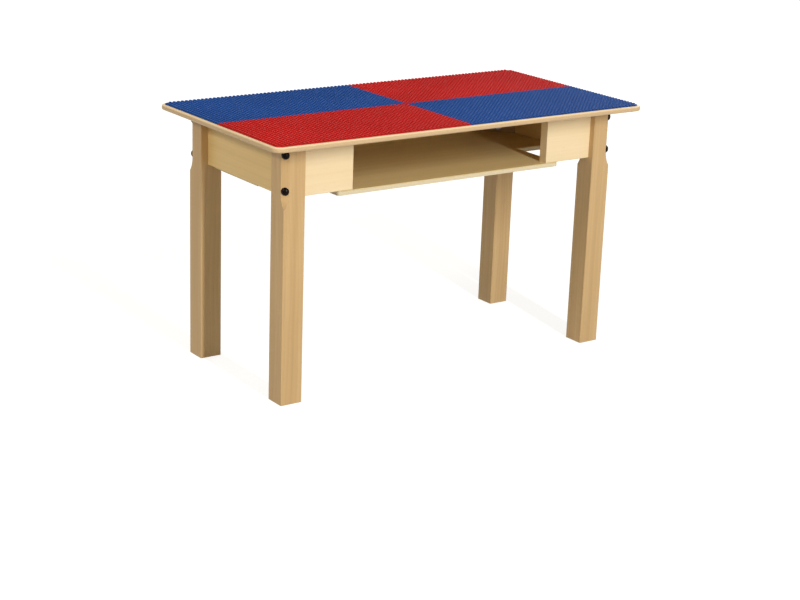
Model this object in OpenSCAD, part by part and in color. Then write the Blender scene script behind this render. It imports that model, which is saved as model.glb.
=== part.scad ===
// Low play table for children: a studded top for building bricks over a shallow storage bay.
// Frame: +Z up, origin on the floor under the middle of the top, +X to the right, -Y to the front.

/* [Stud plates] */
// Studs along the length of one plate
studs_long = 48; // [36:2:48]
// Studs across the width of one plate
studs_wide = 24; // [24:2:28]
// Distance between neighbouring studs
stud_pitch = 8; // [7.5:0.25:8.5]
// Diameter of a stud
stud_d = 4.8; // [4:0.1:5.2]
// Height of a stud above its plate
stud_h = 1.7; // [1.2:0.1:2.4]
// Thickness of a plate below its studs
plate_t = 1.3; // [1:0.1:2.5]
// Gap between neighbouring plates
plate_gap = 0.3; // [0.1:0.1:1]
// Corner radius of the field that the four plates make
plate_corner_r = 11; // [6:1:32]

/* [Table top] */
// Height of the wooden top's upper face above the floor
top_z = 454; // [400:2:560]
// Thickness of the top
top_t = 9; // [9:0.5:16]
// Bare wooden margin outside the plates
top_margin = 6; // [4:1:16]
// Rounding of the edges of the top
top_edge_r = 3; // [1:0.25:4]

/* [Legs] */
// Side of the square leg
leg_a = 41; // [38:1:48]
// Overhang of the top past the legs
leg_inset = 40; // [30:1:50]
// Rounding of the long edges of a leg
leg_edge_r = 1.5; // [1:0.25:3]
// Width that the corner chamfers take off each face at the top of a leg
leg_chamfer = 10; // [10:0.5:12]
// Radius of the cutter, which shows where a chamfer runs out
cutter_r = 50; // [20:1:60]

/* [Rails] */
// Height of the aprons and of the front fascias
rail_h = 89.5; // [88:0.5:110]
// Thickness of the aprons and fascias
rail_t = 18; // [15:1:20]
// Recess of the front fascias and the back apron behind the faces of the legs
recess_y = 12; // [11:1:14]
// Recess of the side aprons behind the faces of the legs
recess_x = 14; // [11:1:15]
// Rounding of the long edges of the rails
rail_edge_r = 1.2; // [0.5:0.1:3]

/* [Storage bay] */
// Width of the opening between the two front fascias
opening_w = 417; // [360:1:440]
// Thickness of the shelf board
shelf_t = 8; // [6:0.5:12]
// Lap of the shelf board's tongue under each fascia
shelf_lap = 28.5; // [20:0.5:40]
// Lap of the shelf board under each side apron
shelf_side_lap = 3; // [0:0.5:8]
// Depth of the notch on each side of the tongue
notch_depth = 119; // [80:1:140]
// Rounding of the tongue's two front corners
tongue_r = 5; // [1:0.5:12]

/* [Fasteners] */
// Diameter of a leg bolt
bolt_d = 8; // [6:0.5:8]
// Diameter of a leg bolt's button head
bolt_head_d = 14; // [11:0.5:14]
// Height of a leg bolt's button head
bolt_head_h = 4.4; // [3.6:0.1:5]
// Distance between the two bolts of a leg
bolt_pitch = 60; // [50:1:62]
// Distance of the upper bolt below the top
bolt_edge = 15.5; // [13:0.5:18]
// Diameter of a wood screw
screw_d = 4; // [3:0.1:4.5]
// Diameter of a wood screw's countersunk head
screw_head_d = 8; // [6:0.1:8.5]

/* [Hidden] */
$fn = 48;
corners = [[-1, -1], [1, -1], [-1, 1], [1, 1]];
fit = 0.05;                       // room round a screw in its own pilot hole
over = 1;                         // how far a cutter reaches past the face that it opens
stud_edge = 0.4;                  // least plate left between a stud and the round corner

plate_l = studs_long * stud_pitch;
plate_w = studs_wide * stud_pitch;
top_l = 2 * (plate_l + top_margin);
top_w = 2 * (plate_w + top_margin);
top_corner_r = plate_corner_r + top_margin;
under_z = top_z - top_t;          // underside of the top, where legs and rails end

leg_x = top_l / 2 - leg_inset;    // outer faces of the legs
leg_y = top_w / 2 - leg_inset;
leg_in_x = leg_x - leg_a;         // inner faces of the legs
leg_in_y = leg_y - leg_a;
axis_d = leg_a * sqrt(2) / 2;     // from a leg's axis to its corners
chamfer_d = leg_chamfer / sqrt(2);
face_d = axis_d - chamfer_d;      // from a leg's axis to its chamfered corner faces
chamfer_stop = 8;                 // how far above the rails' bottom the chamfers start to run out
chamfer_l = rail_h - chamfer_stop;

rail_z = under_z - rail_h;        // bottom of the rails and top of the shelf board
side_x = leg_x - recess_x;        // outer faces of the side aprons
side_in_x = side_x - rail_t;
long_y = leg_y - recess_y;        // outer faces of the fascias and the back apron
long_in_y = long_y - rail_t;
fascia_x = opening_w / 2;         // ends of the fascias at the opening
tongue_x = fascia_x + shelf_lap;
notch_y = notch_depth - long_y;
shelf_x = side_in_x + shelf_side_lap;
shelf_clear = 0.3;                // between the shelf board and the back legs

block_arm = 38;                   // length of a corner block along each rail
block_gap = 0.4;                  // between a block and the leg that its bolts pull in
block_out = leg_in_x + leg_in_y + leg_chamfer - block_gap * sqrt(2);
block_in = block_out - block_arm; // the x + y of a block's inner slanted face
block_d = axis_d - chamfer_d + block_gap + block_arm / sqrt(2);

bolt_hole_d = bolt_d + 0.6;
bolt_l = 80;
bolt_zs = [under_z - bolt_edge, under_z - bolt_edge - bolt_pitch];
socket_af = 5;                    // hexagon socket across its flats
socket_h = 2.6;
washer_d = 16;
washer_t = 1.6;
nut_af = 13;
nut_h = 6.5;

screw_head_h = (screw_head_d - screw_d) / 2;
tip_h = 4;                        // tapered tip of a screw
tip_r = 0.4;
cross_w = 1;                      // arms of the cross recess in a screw's head
cross_l = 4.4;
cross_h = 1.6;
top_screw_l = 32;
shelf_screw_l = 30;
block_screw_l = 24;
block_screw_at = 11;              // from the thin end of a block's arm to its screws
block_screw_z = 22;               // from a block's top and bottom to its screws
block_seat = 8;                   // wood left under the head of a block's screw
block_screw_zs = [under_z - block_screw_z, rail_z + block_screw_z];

back_screws_x = [-240, -80, 80, 240];
side_screws_y = [-60, 60];
fascia_screw_end = 20;            // from either end of a fascia to its screws
shelf_screws_x = [-180, 0, 180];
shelf_block_dx = 26;              // from a block's long corner to the shelf board's screw
shelf_block_dy = 8;
mid_back_y = long_y - rail_t / 2;

// where screws go down through the top: into the back apron, the side aprons and the fascias
top_screws_xy = concat(
    [for (x = back_screws_x) [x, mid_back_y]],
    [for (s = [-1, 1], y = side_screws_y) [s * (side_x - rail_t / 2), y]],
    [for (s = [-1, 1], x = [fascia_x + fascia_screw_end, leg_in_x - fascia_screw_end])
        [s * x, -mid_back_y]]);
// where screws go up through the shelf board: into the back apron, the fascias and the back blocks
shelf_screws_xy = concat(
    [for (x = shelf_screws_x) [x, mid_back_y]],
    [for (s = [-1, 1]) [s * (fascia_x + shelf_lap / 2), -mid_back_y]],
    [for (s = [-1, 1]) [s * (side_in_x - shelf_block_dx), long_in_y - shelf_block_dy]]);

birch = "#ead7ae";
maple = "#cfa873";
steel_black = "#141414";
steel_bright = "#b9bcbf";
brick_red = "#c11f27";
brick_blue = "#1f4f9e";

// ---------- shared shapes ----------

// Repeats its children in the corner that sx and sy point at; the children are drawn for x > 0, y > 0.
module at_corner(sx, sy) mirror([sx < 0 ? 1 : 0, 0, 0]) mirror([0, sy < 0 ? 1 : 0, 0]) children();

// Puts its children on the diagonal of the leg at x > 0, y > 0, d out from its axis, with +Z outward.
module on_diagonal(d, z)
    translate([leg_x - leg_a / 2, leg_y - leg_a / 2, z]) rotate([0, 0, 45]) translate([d, 0, 0])
        rotate([0, 90, 0]) children();

// A rectangle from the origin with round corners.
module round_rect(w, h, r) {
    translate([r, 0]) square([w - 2 * r, h]);
    translate([0, r]) square([w, h - 2 * r]);
    for (x = [r, w - r], y = [r, h - r]) translate([x, y]) circle(r);
}

// A board along X, centred on it, with eased long edges.
module board(l, t, h, r)
    translate([-l / 2, 0, 0]) rotate([90, 0, 90]) linear_extrude(l)
        translate([-t / 2, 0]) round_rect(t, h, r);

// Half of the outline of a panel's rim, for turning about Z.
module rim_section(radius, t, r)
    intersection() {
        translate([-radius, 0]) round_rect(2 * radius, t, r);
        square([radius + over, t]);
    }

// The wood screws differ only in length: the head's top is at z = 0 and the tip at z = -l.
module screw_body(l, grow = 0) {
    translate([0, 0, -screw_head_h])
        cylinder(r1 = screw_d / 2 + grow, r2 = screw_head_d / 2 + grow, h = screw_head_h);
    translate([0, 0, tip_h - l])
        cylinder(d = screw_d + 2 * grow, h = l - tip_h - screw_head_h + fit);
    translate([0, 0, -l - grow])
        cylinder(r1 = tip_r + grow, r2 = screw_d / 2 + grow, h = tip_h + grow);
}

module wood_screw(l)
    difference() {
        screw_body(l);
        for (a = [0, 90]) rotate([0, 0, a]) translate([-cross_l / 2, -cross_w / 2, -cross_h])
            cube([cross_l, cross_w, cross_h + over]);
    }

// The hole that a wood screw fills, with a straight mouth above the head.
module screw_hole(l, mouth = over) {
    screw_body(l, fit);
    translate([0, 0, -fit]) cylinder(d = screw_head_d + 2 * fit, h = mouth + fit);
}

module in_top_screws()
    for (p = top_screws_xy) translate([p.x, p.y, top_z]) children();

module in_shelf_screws()
    for (p = shelf_screws_xy) translate([p.x, p.y, rail_z - shelf_t]) rotate([180, 0, 0]) children();

// The four screws of the block at x > 0, y > 0: two into the side apron, two into the long rail.
module in_block_screws()
    for (z = block_screw_zs) {
        translate([side_in_x - block_seat, block_in - side_in_x + block_screw_at, z])
            rotate([0, -90, 0]) children();
        translate([block_in - long_in_y + block_screw_at, long_in_y - block_seat, z])
            rotate([90, 0, 0]) children();
    }

module every_block_screw()
    for (c = corners) at_corner(c.x, c.y) in_block_screws() children();

// ---------- stud plates ----------

// The rounded outer corner of the plate field leaves out the studs that it would cut.
function stud_fits(x, y) =
    let (dx = x - (plate_l - plate_corner_r), dy = y - (plate_w - plate_corner_r))
    dx < 0 || dy < 0 || norm([dx, dy]) < plate_corner_r - stud_d / 2 - stud_edge;

// Plate at x > 0, y > 0, with its round corner outward.
module plate_outline()
    difference() {
        translate([plate_gap / 2, plate_gap / 2])
            square([plate_l - plate_gap / 2, plate_w - plate_gap / 2]);
        translate([plate_l - plate_corner_r, plate_w - plate_corner_r]) difference() {
            square(plate_corner_r + over);
            circle(plate_corner_r);
        }
    }

module stud_field()
    for (i = [0:studs_long - 1], j = [0:studs_wide - 1])
        let (x = (i + 0.5) * stud_pitch, y = (j + 0.5) * stud_pitch)
            if (stud_fits(x, y)) translate([x, y]) circle(d = stud_d, $fn = 24);

module baseplate(sx, sy, colour)
    color(colour) at_corner(sx, sy) translate([0, 0, top_z]) {
        linear_extrude(plate_t) plate_outline();
        translate([0, 0, plate_t]) linear_extrude(stud_h) stud_field();
    }

// ---------- wooden parts ----------

module top_panel()
    color(birch) difference() {
        translate([0, 0, under_z]) {
            board(top_l - 2 * top_corner_r, top_w, top_t, top_edge_r);
            rotate([0, 0, 90]) board(top_w - 2 * top_corner_r, top_l, top_t, top_edge_r);
            for (c = corners)
                translate([c.x * (top_l / 2 - top_corner_r), c.y * (top_w / 2 - top_corner_r), 0])
                    rotate_extrude() rim_section(top_corner_r, top_t, top_edge_r);
        }
        in_top_screws() screw_hole(top_screw_l);
    }

// What a cutter takes off one corner of a leg: a flat chamfer that ends in the curve of the cutter.
module chamfer_cut(d)
    on_diagonal(d, 0) {
        translate([-under_z - over, -leg_a / 2, 0]) cube([chamfer_l + over, leg_a, leg_a]);
        translate([chamfer_l - under_z, -leg_a / 2, cutter_r]) rotate([-90, 0, 0])
            cylinder(r = cutter_r, h = leg_a, $fn = 96);
    }

module leg(sx, sy)
    color(maple) at_corner(sx, sy) difference() {
        translate([leg_in_x, leg_in_y, 0]) linear_extrude(under_z) round_rect(leg_a, leg_a, leg_edge_r);
        chamfer_cut(face_d);
        translate([2 * leg_x - leg_a, 2 * leg_y - leg_a, 0]) rotate([0, 0, 180]) chamfer_cut(face_d);
        for (z = bolt_zs) on_diagonal(-axis_d, z) cylinder(d = bolt_hole_d, h = 2 * axis_d);
    }

module side_apron(s)
    color(birch) difference() {
        translate([s * (side_x - rail_t / 2), 0, rail_z]) rotate([0, 0, 90])
            board(2 * leg_in_y, rail_t, rail_h, rail_edge_r);
        in_top_screws() screw_hole(top_screw_l);
        every_block_screw() screw_hole(block_screw_l);
    }

module apron_back()
    color(birch) difference() {
        translate([0, mid_back_y, rail_z]) board(2 * leg_in_x, rail_t, rail_h, rail_edge_r);
        in_top_screws() screw_hole(top_screw_l);
        in_shelf_screws() screw_hole(shelf_screw_l);
        every_block_screw() screw_hole(block_screw_l);
    }

module fascia(s)
    color(birch) difference() {
        translate([s * (fascia_x + leg_in_x) / 2, -mid_back_y, rail_z])
            board(leg_in_x - fascia_x, rail_t, rail_h, rail_edge_r);
        in_top_screws() screw_hole(top_screw_l);
        in_shelf_screws() screw_hole(shelf_screw_l);
        every_block_screw() screw_hole(block_screw_l);
    }

// One board: a tongue under the opening, full width behind it, and cut round the back legs.
module shelf_outline() {
    back_x = leg_in_x - shelf_clear;
    translate([-tongue_x, -long_y]) round_rect(2 * tongue_x, notch_depth, tongue_r);
    translate([-tongue_x, -long_y + tongue_r]) square([2 * tongue_x, 2 * long_y - tongue_r]);
    translate([-shelf_x, notch_y]) square([2 * shelf_x, leg_in_y - shelf_clear - notch_y]);
    translate([-back_x, notch_y]) square([2 * back_x, long_y - notch_y]);
}

module shelf_board()
    color(birch) difference() {
        translate([0, 0, rail_z - shelf_t]) linear_extrude(shelf_t) shelf_outline();
        in_shelf_screws() screw_hole(shelf_screw_l);
    }

// Slanted block across a corner: two screws into each rail, and the leg's two bolts through it.
module corner_block(sx, sy)
    color(maple) at_corner(sx, sy) difference() {
        translate([0, 0, rail_z]) linear_extrude(rail_h) polygon([
            [side_in_x, block_out - side_in_x],
            [block_out - long_in_y, long_in_y],
            [block_in - long_in_y, long_in_y],
            [side_in_x, block_in - side_in_x]]);
        for (z = bolt_zs) on_diagonal(-block_d - over, z) cylinder(d = bolt_hole_d, h = block_d);
        in_block_screws() screw_hole(block_screw_l, block_arm);
        if (sy > 0) in_shelf_screws() screw_hole(shelf_screw_l);
    }

// ---------- fasteners ----------

// Button head on the leg's outer chamfer, with a hexagon socket; the shank points inward.
module leg_bolt() {
    dome_r = (pow(bolt_head_d / 2, 2) + pow(bolt_head_h, 2)) / (2 * bolt_head_h);
    difference() {
        union() {
            translate([0, 0, -bolt_l]) cylinder(d = bolt_d, h = bolt_l + fit);
            intersection() {
                translate([0, 0, bolt_head_h - dome_r]) sphere(dome_r);
                cylinder(d = bolt_head_d + over, h = bolt_head_h + over);
            }
        }
        translate([0, 0, bolt_head_h - socket_h])
            cylinder(r = socket_af / sqrt(3), h = socket_h + over, $fn = 6);
    }
}

module at_bolts(d)
    for (c = corners, z = bolt_zs) at_corner(c.x, c.y) on_diagonal(d, z) children();

module leg_bolts() color(steel_black) at_bolts(face_d) leg_bolt();

module ring(d, t)
    difference() {
        cylinder(d = d, h = t);
        translate([0, 0, -over]) cylinder(d = bolt_d + 2 * fit, h = t + 2 * over);
    }

module bolt_washers() color(steel_bright) at_bolts(-block_d - washer_t) ring(washer_d, washer_t);

module bolt_nuts()
    color(steel_bright) at_bolts(-block_d - washer_t - nut_h) difference() {
        cylinder(r = nut_af / sqrt(3), h = nut_h, $fn = 6);
        translate([0, 0, -over]) cylinder(d = bolt_d + 2 * fit, h = nut_h + 2 * over);
    }

module top_screws() color(steel_bright) in_top_screws() wood_screw(top_screw_l);
module shelf_screws() color(steel_bright) in_shelf_screws() wood_screw(shelf_screw_l);
module block_screws() color(steel_bright) every_block_screw() wood_screw(block_screw_l);

top_panel();
baseplate(-1, -1, brick_red);  // baseplate_front_left
baseplate(1, -1, brick_blue);  // baseplate_front_right
baseplate(-1, 1, brick_blue);  // baseplate_back_left
baseplate(1, 1, brick_red);  // baseplate_back_right
leg(-1, -1);  // leg_front_left
leg(1, -1);  // leg_front_right
leg(-1, 1);  // leg_back_left
leg(1, 1);  // leg_back_right
side_apron(-1);  // apron_left
side_apron(1);  // apron_right
apron_back();
fascia(-1);  // fascia_left
fascia(1);  // fascia_right
shelf_board();
corner_block(-1, -1);  // corner_block_front_left
corner_block(1, -1);  // corner_block_front_right
corner_block(-1, 1);  // corner_block_back_left
corner_block(1, 1);  // corner_block_back_right
leg_bolts();
bolt_washers();
bolt_nuts();
top_screws();
shelf_screws();
block_screws();
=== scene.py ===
"""Looks of the low play table: woods, moulded stud plates, steel, soft studio light, and the camera."""

import math
from collections import namedtuple

import bpy
from mathutils import Matrix, Vector


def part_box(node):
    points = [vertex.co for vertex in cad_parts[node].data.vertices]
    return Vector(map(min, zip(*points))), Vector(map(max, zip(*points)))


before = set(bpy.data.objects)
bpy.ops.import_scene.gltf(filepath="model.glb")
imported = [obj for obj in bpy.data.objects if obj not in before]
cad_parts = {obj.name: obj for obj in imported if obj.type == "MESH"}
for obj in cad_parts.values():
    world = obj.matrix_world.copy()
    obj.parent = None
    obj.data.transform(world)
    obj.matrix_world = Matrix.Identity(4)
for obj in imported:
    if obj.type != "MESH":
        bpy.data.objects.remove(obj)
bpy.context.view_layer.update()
scene = bpy.context.scene

# ---------------------------------------------------------------- places

TOP_LO, TOP_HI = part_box("top_panel")
SHELF_LO, SHELF_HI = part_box("shelf_board")

# ---------------------------------------------------------------- node helpers

MIX_A, MIX_B, MIX_COLOUR = 6, 7, 2       # the places of a Mix node's colours among its sockets
BEVEL_SAMPLES = 4


class Graph:
    """A node tree, with short calls for the few kinds of node that the scene uses. What a call takes
    is a number, a colour or another node's output."""

    def __init__(self, tree):
        self.tree = tree
        tree.nodes.clear()

    def put(self, socket, value):
        if isinstance(value, bpy.types.NodeSocket):
            self.tree.links.new(value, socket)
        else:
            socket.default_value = value

    def add(self, kind, *values):
        """A new node, with values in its first inputs."""
        node = self.tree.nodes.new(kind)
        for socket, value in zip(node.inputs, values):
            self.put(socket, value)
        return node

    def math(self, operation, *values):
        node = self.add("ShaderNodeMath", *values)
        node.operation = operation
        return node.outputs[0]

    def vector(self, operation, *values):
        node = self.add("ShaderNodeVectorMath", *values)
        node.operation = operation
        return node.outputs["Value" if operation == "LENGTH" else "Vector"]

    def split(self, vector):
        return self.add("ShaderNodeSeparateXYZ", vector).outputs

    def join(self, x, y, z):
        return self.add("ShaderNodeCombineXYZ", x, y, z).outputs[0]

    def noise(self, at, scale=1.0, detail=2.0, rough=0.5, distortion=0.0):
        node = self.add("ShaderNodeTexNoise", at)
        node.inputs["Scale"].default_value = scale
        node.inputs["Detail"].default_value = detail
        node.inputs["Roughness"].default_value = rough
        node.inputs["Distortion"].default_value = distortion
        return node.outputs["Fac"]

    def span(self, value, lo, hi, to_lo=0.0, to_hi=1.0, shape="SMOOTHSTEP"):
        """value from lo..hi to to_lo..to_hi, and clamped."""
        node = self.add("ShaderNodeMapRange", value, lo, hi, to_lo, to_hi)
        node.interpolation_type = shape
        return node.outputs[0]

    def mix(self, factor, a, b, blend="MIX"):
        node = self.add("ShaderNodeMix", factor)
        node.data_type = "RGBA"
        node.blend_type = blend
        for place, colour in ((MIX_A, a), (MIX_B, b)):
            self.put(node.inputs[place], (*colour, 1.0) if isinstance(colour, tuple) else colour)
        return node.outputs[MIX_COLOUR]


class Surface(Graph):
    """The node tree of a new material with one principled shader."""

    def __init__(self, name):
        self.material = bpy.data.materials.new(name)
        self.material.use_nodes = True
        super().__init__(self.material.node_tree)
        self.shader = self.add("ShaderNodeBsdfPrincipled")
        self.add("ShaderNodeOutputMaterial", self.shader.outputs[0])
        self.coords = self.add("ShaderNodeTexCoord").outputs["Object"]

    def set(self, **values):
        for name, value in values.items():
            self.put(self.shader.inputs[name.replace("_", " ")], value)

    def facing(self, axis):
        """1 where the surface is square to an axis, and 0 where it runs along it."""
        normal = self.add("ShaderNodeNewGeometry").outputs["Normal"]
        return self.math("ABSOLUTE", self.split(normal)[axis])

    def soft_edges(self, radius):
        """Normals that round off sharp edges by radius."""
        node = self.add("ShaderNodeBevel", radius)
        node.samples = BEVEL_SAMPLES
        return node.outputs[0]

    def bump(self, height, distance, strength, normal=None):
        node = self.add("ShaderNodeBump")
        node.inputs["Strength"].default_value = strength
        node.inputs["Distance"].default_value = distance
        self.put(node.inputs["Height"], height)
        if normal is not None:
            self.put(node.inputs["Normal"], normal)
        return node.outputs[0]


def shade(colour, factor):
    return tuple(min(1.0, c * factor) for c in colour)


# ---------------------------------------------------------------- wood

# for each direction of the grain, the axis along it and the two across it
AXES = {"x": (0, 1, 2), "y": (1, 0, 2), "z": (2, 0, 1)}
SEED_STEP = 7.31                         # how far apart two seeds lie in the noise

# noise drawn out along the grain: its changes in a metre along the grain, and across it
WANDER, STREAK, CLOUD, FIBRE, PORE = (2.1, 9.0), (1.6, 75.0), (5.0, 22.0), (14.0, 900.0), (70.0, 1500.0)

WANDER_WIDTH = 0.05                      # how far the rings wander sideways, in metres
UNEVEN, UNEVEN_RINGS = 60.0, 2.5         # changes in a metre in the rings' pace, and by how many rings
LATE_WOOD = 2.2                          # how late in its year a ring turns dark

# how dark the wood is from its light colour at 0 to its dark one at 1: the mean, what rings, streaks
# and fibres have in it, and about what these three come to on average
MEAN_TONE = 0.30
RING_SHARE, STREAK_SHARE, FIBRE_SHARE = 0.32, 1.45, 0.30
MEAN_SHARE = 0.90

# of clouds, pores, end grain and glue lines: where they show, how much, and how dark they are
CLOUD_SPAN, CLOUD_COVER, CLOUD_SHADE = (0.35, 0.70), 0.28, 1.04
PORE_SPAN, PORE_COVER, PORE_SHADE = (0.66, 0.74), 0.22, 0.55
END_SPAN, END_COVER, END_SHADE = (0.10, 0.65), 0.62, 0.70
GLUE_SPAN, GLUE_COVER, GLUE_SHADE = (0.10, 0.04), 0.18, 0.55

# plywood's edges, with heights counted in plies
BOW, BOW_SCALE = 0.12, (9.0, 9.0, 9.0)   # how far the plies bow, and how often in a metre
PLY_TURN = (0.40, 0.60)                  # where a ply turns into the next one
EDGE_SPAN = (0.75, 0.25)                 # facing up or down: from a board's face to its edge
FACE_PLY = (0.7, 1.1)                    # how far below the top the face's own look ends
SPECK_SCALE, SPECK_SPAN = (700.0, 700.0, 500.0), (0.35, 0.70)
SPECK_LIGHT, SPECK_DARK, PLAIN_LIGHT = 1.10, 0.88, 1.06

LACQUER_ROUGH, FIBRE_ROUGH = 0.36, 0.16
FIBRE_GROOVE, GROOVE_DEPTH, GROOVE_STRENGTH = 0.5, 0.00012, 0.5
WOOD_EDGE_RADIUS = 0.0007

# plywood: its lowest and highest z, count of plies, tone of its edges and how far that covers the wood's
Plies = namedtuple("Plies", "bottom top count tone cover")


def grain_noise(g, at, stretch, detail=2.0, rough=0.5):
    """Noise drawn out along the grain, at (along, across, across, shift)."""
    along, u, v, shift = at
    return g.noise(g.join(g.math("MULTIPLY_ADD", along, stretch[0], shift),
                          g.math("MULTIPLY", u, stretch[1]),
                          g.math("MULTIPLY", v, stretch[1])), detail=detail, rough=rough)


def year_rings(g, at, heart, rings):
    """0 to 1 over each year ring. The rings wander slowly along the board, so that they run as long
    uneven cathedrals and stripes."""
    _, u, v, shift = at
    wander = g.math("MULTIPLY_ADD", grain_noise(g, at, WANDER), WANDER_WIDTH, -WANDER_WIDTH / 2)
    du = g.math("ADD", g.math("SUBTRACT", u, heart[0]), wander)
    dv = g.math("SUBTRACT", v, heart[1])
    radius = g.math("SQRT", g.math("ADD", g.math("MULTIPLY", du, du), g.math("MULTIPLY", dv, dv)))
    uneven = g.noise(g.join(shift, g.math("MULTIPLY", radius, UNEVEN), 0.0), detail=3.0)
    turn = g.math("MULTIPLY_ADD", radius, rings, g.math("MULTIPLY", uneven, UNEVEN_RINGS))
    return g.math("POWER", g.math("FRACT", turn), LATE_WOOD)


def ply_edges(g, colour, plies, dark):
    """colour with plywood's edges on it: plain and speckled plies in turn, with glue between them."""
    ply = (plies.top - plies.bottom) / plies.count
    level = g.math("DIVIDE", g.math("SUBTRACT", g.split(g.coords)[2], plies.bottom), ply)
    bow = g.noise(g.vector("MULTIPLY", g.coords, BOW_SCALE), detail=1.0)
    level = g.math("ADD", level, g.math("MULTIPLY_ADD", bow, BOW, -BOW / 2))
    odd = g.math("PINGPONG", g.math("SUBTRACT", level, 0.5), 1.0)
    edge = g.span(g.facing(2), *EDGE_SPAN)
    below_face = g.span(level, *(plies.count - depth for depth in FACE_PLY))

    speck = g.noise(g.vector("MULTIPLY", g.coords, SPECK_SCALE))
    plain = shade(plies.tone, PLAIN_LIGHT)
    speckled = g.mix(g.span(speck, *SPECK_SPAN),
                     shade(plies.tone, SPECK_LIGHT), shade(plies.tone, SPECK_DARK))
    striped = g.mix(g.span(odd, *PLY_TURN), plain, speckled)
    colour = g.mix(g.math("MULTIPLY", g.math("MULTIPLY", edge, below_face), plies.cover), colour, striped)

    from_line = g.math("ABSOLUTE", g.math("SUBTRACT", odd, 0.5))
    glue = g.math("MULTIPLY", g.span(from_line, *GLUE_SPAN), edge)
    return g.mix(g.math("MULTIPLY", glue, GLUE_COVER), colour, shade(dark, GLUE_SHADE))


def wood(name, colours, grain, seed, heart, rings, figure, end=END_COVER, plies=None):
    """Lacquered wood with its grain along one axis. colours are the light and the dark wood's, heart
    is where the tree's centre lies across the grain, rings how many there are in a metre, figure how
    strongly the grain shows, and end how much the end grain darkens, unless there are plies."""
    light, dark = colours
    g = Surface(name)
    place = g.split(g.coords)
    at = (*(place[axis] for axis in AXES[grain]), seed * SEED_STEP)
    ring = year_rings(g, at, heart, rings)
    streak = grain_noise(g, at, STREAK)
    cloud = grain_noise(g, at, CLOUD)
    fibre = grain_noise(g, at, FIBRE, detail=3.0, rough=0.6)
    pores = g.span(grain_noise(g, at, PORE, detail=1.0), *PORE_SPAN)

    shares = g.math("MULTIPLY_ADD", ring, RING_SHARE, g.math("MULTIPLY", streak, STREAK_SHARE))
    shares = g.math("MULTIPLY_ADD", fibre, FIBRE_SHARE, shares)
    tone = g.math("MULTIPLY_ADD", g.math("SUBTRACT", shares, MEAN_SHARE), figure, MEAN_TONE)
    colour = g.mix(tone, light, dark)
    colour = g.mix(g.span(cloud, *CLOUD_SPAN, 0.0, CLOUD_COVER), colour, shade(dark, CLOUD_SHADE))
    colour = g.mix(g.math("MULTIPLY", pores, PORE_COVER), colour, shade(dark, PORE_SHADE))
    if plies:
        colour = ply_edges(g, colour, plies, dark)
    else:
        across = g.span(g.facing(AXES[grain][0]), *END_SPAN, 0.0, end)
        colour = g.mix(across, colour, shade(dark, END_SHADE))

    grooves = g.math("SUBTRACT", g.math("MULTIPLY", fibre, FIBRE_GROOVE), pores)
    g.set(Base_Color=colour, Roughness=g.math("MULTIPLY_ADD", fibre, FIBRE_ROUGH, LACQUER_ROUGH),
          Normal=g.bump(grooves, GROOVE_DEPTH, GROOVE_STRENGTH, g.soft_edges(WOOD_EDGE_RADIUS)),
          Specular_IOR_Level=0.30, Coat_Weight=0.10, Coat_Roughness=0.22)
    return g.material


# ---------------------------------------------------------------- plastic and steel

# the heights over which the look changes from that of the plate, with painted shade between the studs, to
# that of the studs' tops
STUD_FOOT, STUD_TOP = TOP_HI[2] + 0.0010, TOP_HI[2] + 0.0028
WALL_SPAN = (0.75, 0.30)                 # facing up: from a stud's top to its wall
PAINTED_STUD_SHADE = (0.74, 0.74, 0.74)          # painted shade on the studs' walls, on the plates' edges and on what lies between the studs
FLOW_SPAN, FLOW_DARK, FLOW_LIGHT = (0.3, 0.7), 0.93, 1.06
SCUFF_SPAN, SCUFF_COVER, SCUFF_LIGHT = (0.60, 0.72), 0.10, 1.5
WEAR_SCALE = (40.0, 140.0, 40.0)
PLATE_ROUGH, WEAR_ROUGH = 0.45, 0.18

STEEL_SPAN, STEEL_ROUGH_SPREAD = (0.3, 0.7), 0.18
STEEL_EDGE_RADIUS = 0.0003


def moulded(name, colour, shift):
    """Moulded plate: even colour, a faint flow from the gate, a finely eroded skin and handling marks
    on the studs' tops, and painted shade on the studs' walls and between the studs, so that the tops look
    lighter than what lies below them."""
    g = Surface(name)
    flow = g.noise(g.vector("ADD", g.coords, (shift, 0, 0)), scale=6.0, detail=3.0, rough=0.55)
    skin = g.noise(g.coords, scale=2600.0, rough=0.6)
    wear = g.noise(g.vector("MULTIPLY", g.coords, WEAR_SCALE), detail=4.0, rough=0.7, distortion=0.6)
    raised = g.span(g.split(g.coords)[2], STUD_FOOT, STUD_TOP)
    wall = g.span(g.facing(2), *WALL_SPAN)

    tone = g.mix(g.span(flow, *FLOW_SPAN), shade(colour, FLOW_DARK), shade(colour, FLOW_LIGHT))
    # painted shade: below the studs' tops, and on every wall of studs and plates, the colour is drawn
    # darker
    tone = g.mix(raised, g.mix(1.0, tone, PAINTED_STUD_SHADE, "MULTIPLY"), tone)
    tone = g.mix(wall, tone, g.mix(1.0, tone, PAINTED_STUD_SHADE, "MULTIPLY"))
    scuff = g.math("MULTIPLY", g.span(wear, *SCUFF_SPAN, 0.0, SCUFF_COVER), raised)
    tone = g.mix(scuff, tone, shade(colour, SCUFF_LIGHT))
    g.set(Base_Color=tone, Roughness=g.math("MULTIPLY_ADD", wear, WEAR_ROUGH, PLATE_ROUGH),
          Normal=g.bump(skin, distance=0.00003, strength=0.6), Specular_IOR_Level=0.02)
    return g.material


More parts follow.
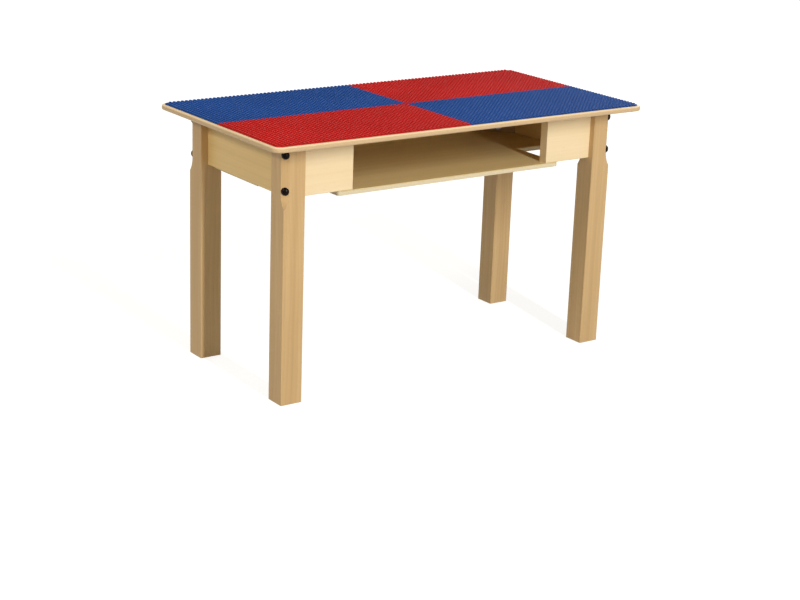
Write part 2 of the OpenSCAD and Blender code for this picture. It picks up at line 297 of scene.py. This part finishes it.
def steel(name, colour, metallic, rough, spread, specular):
    """Steel with a finely grained, cloudy finish. rough is the mean roughness, and spread how much
    the clouds change the colour."""
    g = Surface(name)
    cloud = g.noise(g.coords, scale=260.0, detail=3.0, rough=0.6)
    fine = g.noise(g.coords, scale=3400.0, rough=0.6)
    tone = g.mix(g.span(cloud, *STEEL_SPAN), shade(colour, 1 - spread), shade(colour, 1 + spread))
    g.set(Base_Color=tone, Metallic=metallic, Specular_IOR_Level=specular,
          Roughness=g.math("MULTIPLY_ADD", cloud, STEEL_ROUGH_SPREAD, rough - STEEL_ROUGH_SPREAD / 2),
          Normal=g.bump(fine, distance=0.00002, strength=0.5, normal=g.soft_edges(STEEL_EDGE_RADIUS)))
    return g.material


# ---------------------------------------------------------------- materials of the CAD nodes

# each wood's light and dark colour
FASCIA_WOOD = ((0.95, 0.77, 0.50), (0.83, 0.63, 0.35))
APRON_WOOD = ((0.88, 0.64, 0.29), (0.71, 0.49, 0.20))
LEG_WOOD = ((0.69, 0.47, 0.23), (0.50, 0.31, 0.134))
TOP_WOOD, TOP_EDGE = ((0.86, 0.66, 0.41), (0.73, 0.52, 0.29)), (0.60, 0.41, 0.22)
SHELF_WOOD, SHELF_EDGE = ((0.78, 0.61, 0.30), (0.64, 0.47, 0.21)), (0.75, 0.66, 0.49)
RED, BLUE = (0.68, 0.026, 0.023), (0.027, 0.104, 0.395)
BLACK, BRIGHT = (0.008, 0.004, 0.003), (0.60, 0.61, 0.63)

LEG_RINGS, LEG_FIGURE, LEG_END, LEG_SEED = 170.0, 0.75, 0.9, 11
BLOCK_FIGURE, BLOCK_HEART, BLOCK_SEED = 0.6, 0.33, 21
LEG_HEARTS = {"front_left": (-0.44, -0.10), "front_right": (0.25, -0.26),
              "back_left": (-0.40, 0.25), "back_right": (0.42, 0.05)}
PLATES = {"front_left": RED, "front_right": BLUE, "back_left": BLUE, "back_right": RED}
FLOW_START, FLOW_STEP = 25.5, 1.7        # where each plate's flow marks lie in the noise

LOOKS = {
    "top_panel": wood("birch_plywood_top", TOP_WOOD, "x", seed=1, heart=(0.3, 0.9), rings=90.0, figure=0.5,
                      plies=Plies(TOP_LO[2], TOP_HI[2], 7, TOP_EDGE, 0.85)),
    "shelf_board": wood("birch_plywood_shelf", SHELF_WOOD, "x", seed=2, heart=(-0.2, 0.7), rings=90.0,
                        figure=0.55, plies=Plies(SHELF_LO[2], SHELF_HI[2], 5, SHELF_EDGE, 0.70)),
    "apron_left": wood("birch_apron_left", APRON_WOOD, "y", seed=3, heart=(-0.38, 0.30), rings=160.0,
                       figure=0.6),
    "apron_right": wood("birch_apron_right", APRON_WOOD, "y", seed=4, heart=(0.30, 0.33), rings=150.0,
                        figure=0.6),
    "apron_back": wood("birch_apron_back", APRON_WOOD, "x", seed=5, heart=(0.20, 0.31), rings=150.0,
                       figure=0.6),
    "fascia_left": wood("birch_fascia_left", FASCIA_WOOD, "x", seed=6, heart=(-0.22, 0.30), rings=140.0,
                        figure=0.45, end=0.1),
    "fascia_right": wood("birch_fascia_right", FASCIA_WOOD, "x", seed=7, heart=(-0.20, 0.28), rings=150.0,
                         figure=0.45, end=0.1),
    "leg_bolts": steel("black_oxide", BLACK, metallic=0.0, rough=0.26, spread=0.2, specular=0.07),
}
for i, (corner, heart) in enumerate(LEG_HEARTS.items()):
    LOOKS["leg_" + corner] = wood("maple_leg_" + corner, LEG_WOOD, "z", LEG_SEED + i, heart, LEG_RINGS,
                                  LEG_FIGURE, LEG_END)
    LOOKS["corner_block_" + corner] = wood("maple_block_" + corner, LEG_WOOD, "x", BLOCK_SEED + i,
                                           (heart[1], BLOCK_HEART), LEG_RINGS, BLOCK_FIGURE)
for i, (corner, colour) in enumerate(PLATES.items()):
    LOOKS["baseplate_" + corner] = moulded("plate_" + corner, colour, FLOW_START + i * FLOW_STEP)
zinc = steel("bright_zinc", BRIGHT, metallic=1.0, rough=0.30, spread=0.06, specular=0.5)
for small in ("bolt_washers", "bolt_nuts", "top_screws", "shelf_screws", "block_screws"):
    LOOKS[small] = zinc

for node, look in LOOKS.items():
    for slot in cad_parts[node].material_slots:
        slot.material = look

# ---------------------------------------------------------------- floor and light

FLOOR_Z, FLOOR_SIZE = -0.0005, 40.0      # just under the legs' ends, to share no plane with them
FLOOR_TONE = 0.36
NEAR, FAR = 0.7, 3.0                     # metres from the table's middle
NEAR_GLOW, FAR_GLOW = 0.80, 0.92         # what the floor adds to the lamps' light to show as white
SKY_LIGHT, SKY_SEEN = 0.42, 1.0
WARM, NEUTRAL = (1.0, 0.95, 0.81), (1.0, 1.0, 1.0)
LAMPS_FACE = Vector((0, 0, 0.35))


def background_rays(g):
    """1 on the rays that show the background: seen by the camera, in a reflection or through glass."""
    rays = g.add("ShaderNodeLightPath").outputs
    seen = g.math("MAXIMUM", rays["Is Camera Ray"], rays["Is Glossy Ray"])
    return g.math("MAXIMUM", seen, rays["Is Transmission Ray"])


def studio_floor():
    """Pale paper that keeps the table's shadow and shows as white."""
    bpy.ops.mesh.primitive_plane_add(size=FLOOR_SIZE, location=(0, 0, FLOOR_Z))
    floor = bpy.context.object
    floor.name = "floor"
    paper = bpy.data.materials.new("studio_paper")
    paper.use_nodes = True
    g = Graph(paper.node_tree)
    away = g.vector("LENGTH", g.add("ShaderNodeTexCoord").outputs["Object"])
    level = g.span(away, NEAR, FAR, NEAR_GLOW, FAR_GLOW, "LINEAR")
    glow = g.add("ShaderNodeEmission")
    g.put(glow.inputs["Strength"], g.math("MULTIPLY", background_rays(g), level))
    matt = g.add("ShaderNodeBsdfDiffuse", (FLOOR_TONE, FLOOR_TONE, FLOOR_TONE, 1))
    both = g.add("ShaderNodeAddShader", matt.outputs[0], glow.outputs[0])
    g.add("ShaderNodeOutputMaterial", both.outputs[0])
    floor.data.materials.append(paper)


def studio_sky():
    """Even, slightly warm light from all round, on a white background."""
    world = bpy.data.worlds.new("studio")
    world.use_nodes = True
    g = Graph(world.node_tree)
    colour = g.mix(background_rays(g), shade(WARM, SKY_LIGHT), (SKY_SEEN, SKY_SEEN, SKY_SEEN))
    sky = g.add("ShaderNodeBackground", colour)
    g.add("ShaderNodeOutputWorld", sky.outputs[0])
    scene.world = world


def lamp(name, at, size, watts, colour):
    """A soft rectangular light that faces the table. size is its width and its height."""
    data = bpy.data.lights.new(name, "AREA")
    data.color = colour
    data.shape = "RECTANGLE"
    data.size, data.size_y = size
    data.energy = watts
    obj = bpy.data.objects.new(name, data)
    scene.collection.objects.link(obj)
    obj.location = at
    obj.rotation_mode = "QUATERNION"
    obj.rotation_quaternion = (LAMPS_FACE - Vector(at)).to_track_quat("-Z", "Y")


studio_floor()
studio_sky()
lamp("key", at=(-0.42, -4.10, 2.30), size=(0.12, 2.30), watts=144.0, colour=NEUTRAL)
lamp("side", at=(-4.20, -0.50, 2.75), size=(0.65, 0.65), watts=56.0, colour=WARM)
lamp("back", at=(3.40, 2.60, 2.20), size=(1.50, 1.50), watts=34.0, colour=NEUTRAL)

# ---------------------------------------------------------------- camera

# fitted to the photo: angles, metres from the table's foot, and the focal length in the photo's pixels
AZIMUTH, ELEVATION, ROLL = math.radians(35.684), math.radians(17.658), math.radians(2.058)
DISTANCE, TARGET = 3.26978, Vector((0.00188, 0.0, 0.08851))
FOCAL_PIXELS, PHOTO_PIXELS, SENSOR_MM = 1773.76, 800, 36


def photo_camera():
    """The camera at the photo's viewing angle, rolled a little as the photo is."""
    back = Vector((-math.sin(AZIMUTH) * math.cos(ELEVATION), -math.cos(AZIMUTH) * math.cos(ELEVATION),
                   math.sin(ELEVATION)))
    level = Vector((0, 0, 1)).cross(back).normalized()
    upright = back.cross(level)
    right = math.cos(ROLL) * level + math.sin(ROLL) * upright
    up = math.cos(ROLL) * upright - math.sin(ROLL) * level

    data = bpy.data.cameras.new("camera")
    data.lens = FOCAL_PIXELS / PHOTO_PIXELS * SENSOR_MM
    data.sensor_width = SENSOR_MM
    data.clip_start = 0.1
    data.clip_end = 100
    camera = bpy.data.objects.new("camera", data)
    scene.collection.objects.link(camera)
    turn = Matrix((right, up, back)).transposed().to_4x4()
    camera.matrix_world = Matrix.Translation(TARGET + back * DISTANCE) @ turn
    return camera


scene.camera = photo_camera()
scene.view_settings.view_transform = "Standard"
